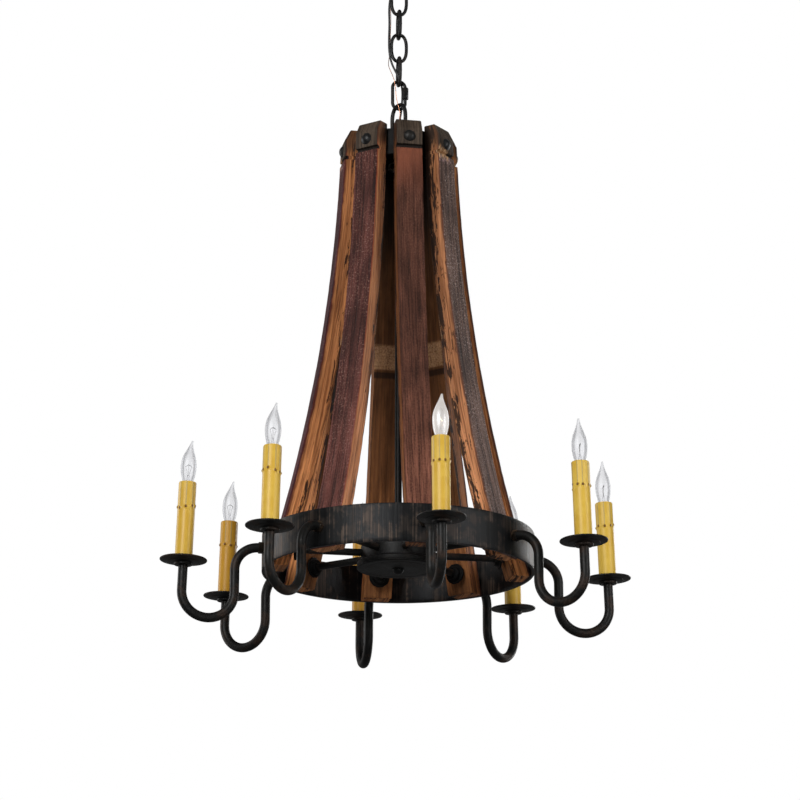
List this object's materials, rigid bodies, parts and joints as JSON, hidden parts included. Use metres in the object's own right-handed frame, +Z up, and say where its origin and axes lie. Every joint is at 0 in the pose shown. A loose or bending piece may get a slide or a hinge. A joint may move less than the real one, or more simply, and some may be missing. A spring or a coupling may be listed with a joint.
{
  "type": "barrel stave chandelier",
  "caption": "Tall chain-hung chandelier of upright barrel staves, splayed inside an iron ring that carries gooseneck candle arms.",
  "frame": {"origin": "centre of the ceiling plane, midway between the crossbar's two slots, where the canopy's rim seats", "axes": "+Z up into the ceiling; +X along the crossbar; one stave and one arm face -Y"},
  "size_m": [0.6818, 0.6818, 1.0543],
  "materials": {
    "dark_iron": "oil-rubbed dark bronze, satin, worn at the edges",
    "black_iron": "black, satin",
    "zinc_steel": "plated, inner hardware",
    "oak_stave": "reused oak, weathered outside and charred inside",
    "candle_sleeve": "amber, with wax drips",
    "socket_moulding": "moulded, dark",
    "lamp_glass": "clear",
    "cord_sheath": "black, matt",
    "bare_copper": "bare bright copper"
  },
  "bodies": {
    "ceiling_mount": {"ceiling_canopy": "black_iron", "crossbar": "zinc_steel", "canopy_nipple": "zinc_steel", "canopy_nuts": "zinc_steel", "canopy_loop": "black_iron", "supply_cord": "cord_sheath", "ground_wire": "bare_copper"},
    "link_1": {"chain_link_1": "black_iron"},
    "link_2": {"chain_link_2": "black_iron"},
    "link_3": {"chain_link_3": "black_iron"},
    "link_4": {"chain_link_4": "black_iron"},
    "quick_link": {"quick_link": "black_iron"},
    "quick_link_nut": {"quick_link_nut": "black_iron"},
    "bulb_1": {"bulb_1": "lamp_glass"},
    "bulb_2": {"bulb_2": "lamp_glass"},
    "bulb_3": {"bulb_3": "lamp_glass"},
    "bulb_4": {"bulb_4": "lamp_glass"},
    "bulb_5": {"bulb_5": "lamp_glass"},
    "bulb_6": {"bulb_6": "lamp_glass"},
    "bulb_7": {"bulb_7": "lamp_glass"},
    "bulb_8": {"bulb_8": "lamp_glass"},
    "finial": {"finial": "dark_iron"},
    "fixture": {"fixture_loop": "black_iron", "crown_ring": "dark_iron", "crown_plate": "zinc_steel", "crown_bolts": "dark_iron", "crown_nuts": "zinc_steel", "centre_pipe": "zinc_steel", "pipe_nuts": "zinc_steel", "hub_body": "dark_iron", "hub_cover": "dark_iron", "spokes": "dark_iron", "stave_locknuts": "dark_iron", "lower_ring": "dark_iron", "arm_collars": "dark_iron", "drip_pans": "dark_iron", "socket_stems": "zinc_steel", "arm_1": "dark_iron", "arm_2": "dark_iron", "arm_3": "dark_iron", "arm_4": "dark_iron", "arm_5": "dark_iron", "arm_6": "dark_iron", "arm_7": "dark_iron", "arm_8": "dark_iron", "candle_covers": "candle_sleeve", "sockets": "socket_moulding", "stave_1": "oak_stave", "stave_2": "oak_stave", "stave_3": "oak_stave", "stave_4": "oak_stave", "stave_5": "oak_stave", "stave_6": "oak_stave", "stave_7": "oak_stave", "stave_8": "oak_stave"}
  },
  "joints": [
    {"name": "loop_to_link_1", "type": "hinge", "parent": "ceiling_mount", "child": "link_1", "pos_m": [0, 0, -0.075], "axis": [0, 1, 0], "range_deg": [-15, 15], "deforming": ["supply_cord", "ground_wire"]},
    {"name": "link_1_to_link_2", "type": "hinge", "parent": "link_1", "child": "link_2", "pos_m": [0, 0, -0.1122], "axis": [1, 0, 0], "range_deg": [-15, 15]},
    {"name": "link_2_to_link_3", "type": "hinge", "parent": "link_2", "child": "link_3", "pos_m": [0, 0, -0.1499], "axis": [0, 1, 0], "range_deg": [-15, 15]},
    {"name": "link_3_to_link_4", "type": "hinge", "parent": "link_3", "child": "link_4", "pos_m": [0, 0, -0.1876], "axis": [1, 0, 0], "range_deg": [-15, 15]},
    {"name": "link_4_to_quick_link", "type": "hinge", "parent": "link_4", "child": "quick_link", "pos_m": [0, 0, -0.2253], "axis": [0, 1, 0], "range_deg": [-15, 15]},
    {"name": "quick_link_to_fixture", "type": "hinge", "parent": "quick_link", "child": "fixture", "pos_m": [0, 0, -0.2636], "axis": [1, 0, 0], "range_deg": [-15, 15]},
    {"name": "quick_link_nut_slide", "type": "slide", "parent": "quick_link", "child": "quick_link_nut", "axis": [0, 0, 1], "range_m": [-0.0065, 0]},
    {"name": "bulb_1_turn", "type": "hinge", "parent": "fixture", "child": "bulb_1", "pos_m": [0, -0.30888, -1.0091], "axis": [0, 0.0349, 0.9994], "range_deg": [0, 900]},
    {"name": "bulb_2_turn", "type": "hinge", "parent": "fixture", "child": "bulb_2", "pos_m": [0.21841, -0.21841, -1.0091], "axis": [-0.0247, 0.0247, 0.9994], "range_deg": [0, 900]},
    {"name": "bulb_3_turn", "type": "hinge", "parent": "fixture", "child": "bulb_3", "pos_m": [0.30888, 0, -1.0091], "axis": [-0.0349, 0, 0.9994], "range_deg": [0, 900]},
    {"name": "bulb_4_turn", "type": "hinge", "parent": "fixture", "child": "bulb_4", "pos_m": [0.21841, 0.21841, -1.0091], "axis": [-0.0247, -0.0247, 0.9994], "range_deg": [0, 900]},
    {"name": "bulb_5_turn", "type": "hinge", "parent": "fixture", "child": "bulb_5", "pos_m": [0, 0.30888, -1.0091], "axis": [0, -0.0349, 0.9994], "range_deg": [0, 900]},
    {"name": "bulb_6_turn", "type": "hinge", "parent": "fixture", "child": "bulb_6", "pos_m": [-0.21841, 0.21841, -1.0091], "axis": [0.0247, -0.0247, 0.9994], "range_deg": [0, 900]},
    {"name": "bulb_7_turn", "type": "hinge", "parent": "fixture", "child": "bulb_7", "pos_m": [-0.30888, 0, -1.0091], "axis": [0.0349, 0, 0.9994], "range_deg": [0, 900]},
    {"name": "bulb_8_turn", "type": "hinge", "parent": "fixture", "child": "bulb_8", "pos_m": [-0.21841, -0.21841, -1.0091], "axis": [0.0247, 0.0247, 0.9994], "range_deg": [0, 900]},
    {"name": "finial_turn", "type": "hinge", "parent": "fixture", "child": "finial", "pos_m": [0, 0, -0.9718], "axis": [0, 0, 1], "range_deg": [0, 1080]}
  ]
}
